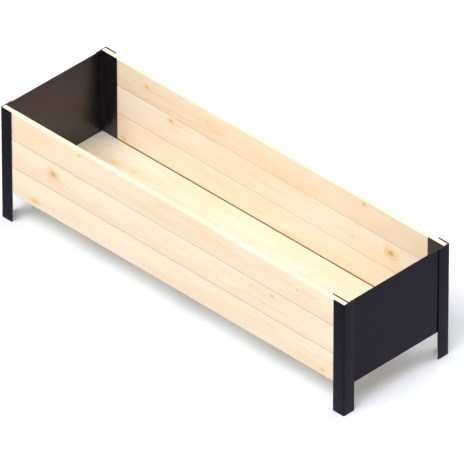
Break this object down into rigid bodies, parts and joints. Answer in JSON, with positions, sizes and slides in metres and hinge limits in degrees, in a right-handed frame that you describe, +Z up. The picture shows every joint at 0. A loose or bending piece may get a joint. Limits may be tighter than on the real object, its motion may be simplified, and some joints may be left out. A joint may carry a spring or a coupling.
{
  "type": "raised bed planter box",
  "caption": "Long open-topped raised planter box: softwood side boards held between folded steel end panels, with a wooden floor, on angle-steel legs.",
  "frame": {"origin": "on the ground, under the middle of the bed", "axes": "+X along the bed, +Y across it from front to back, +Z up"},
  "size_m": [1.36, 0.42, 0.38],
  "materials": {
    "side_wood": "planed pale softwood, unsealed, with eased edges",
    "floor_wood": "pale veneered panel, matt",
    "steel_coat": "dark anthracite powder coat, satin with a fine texture",
    "screw_coat": "black coated screw steel"
  },
  "bodies": {
    "root": {"end_panel_left": "steel_coat", "end_panel_right": "steel_coat", "leg_front_left": "steel_coat", "leg_front_right": "steel_coat", "leg_back_left": "steel_coat", "leg_back_right": "steel_coat", "side_board_front_lower": "side_wood", "side_board_front_middle": "side_wood", "side_board_front_upper": "side_wood", "side_board_back_lower": "side_wood", "side_board_back_middle": "side_wood", "side_board_back_upper": "side_wood", "floor_panel": "floor_wood", "floor_strap_1": "steel_coat", "floor_strap_2": "steel_coat", "floor_strap_3": "steel_coat", "screw_front_lower_left": "screw_coat", "screw_front_lower_right": "screw_coat", "screw_front_middle_left": "screw_coat", "screw_front_middle_right": "screw_coat", "screw_front_upper_left": "screw_coat", "screw_front_upper_right": "screw_coat", "screw_back_lower_left": "screw_coat", "screw_back_lower_right": "screw_coat", "screw_back_middle_left": "screw_coat", "screw_back_middle_right": "screw_coat", "screw_back_upper_left": "screw_coat", "screw_back_upper_right": "screw_coat", "screw_strap_1_front": "screw_coat", "screw_strap_1_back": "screw_coat", "screw_strap_2_front": "screw_coat", "screw_strap_2_back": "screw_coat", "screw_strap_3_front": "screw_coat", "screw_strap_3_back": "screw_coat"}
  },
  "joints": []
}
